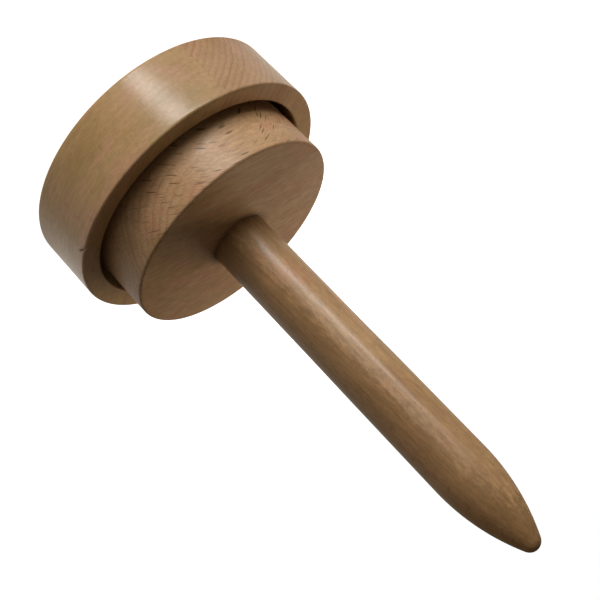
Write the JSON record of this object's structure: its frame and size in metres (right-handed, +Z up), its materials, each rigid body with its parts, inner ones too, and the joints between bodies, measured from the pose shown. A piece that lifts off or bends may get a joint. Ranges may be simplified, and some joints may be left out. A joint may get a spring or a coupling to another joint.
{
  "type": "nutcracker",
  "caption": "Turned beech nutcracker: a round striking head on a long tapered handle, lifted and dropped inside a loose open guard ring.",
  "frame": {"origin": "centre of the guard ring's bottom face, on the table", "axes": "+Z up along the handle, which is also the way the stamp lifts; the ring's wide front segment faces -Y and +X"},
  "size_m": [0.105, 0.105, 0.195],
  "materials": {
    "ring_beech": "oiled, satin",
    "head_beech": "oiled, satin",
    "handle_beech": "oiled, satin"
  },
  "bodies": {
    "guard_ring": {"ring_front_segment": "ring_beech", "ring_left_segment": "ring_beech", "ring_right_segment": "ring_beech", "ring_back_segment": "ring_beech"},
    "stamp": {"head": "head_beech", "handle": "handle_beech"}
  },
  "joints": [
    {"name": "stamp_lift", "type": "slide", "parent": "guard_ring", "child": "stamp", "axis": [0, 0, 1], "range_m": [0, 0.075]}
  ]
}
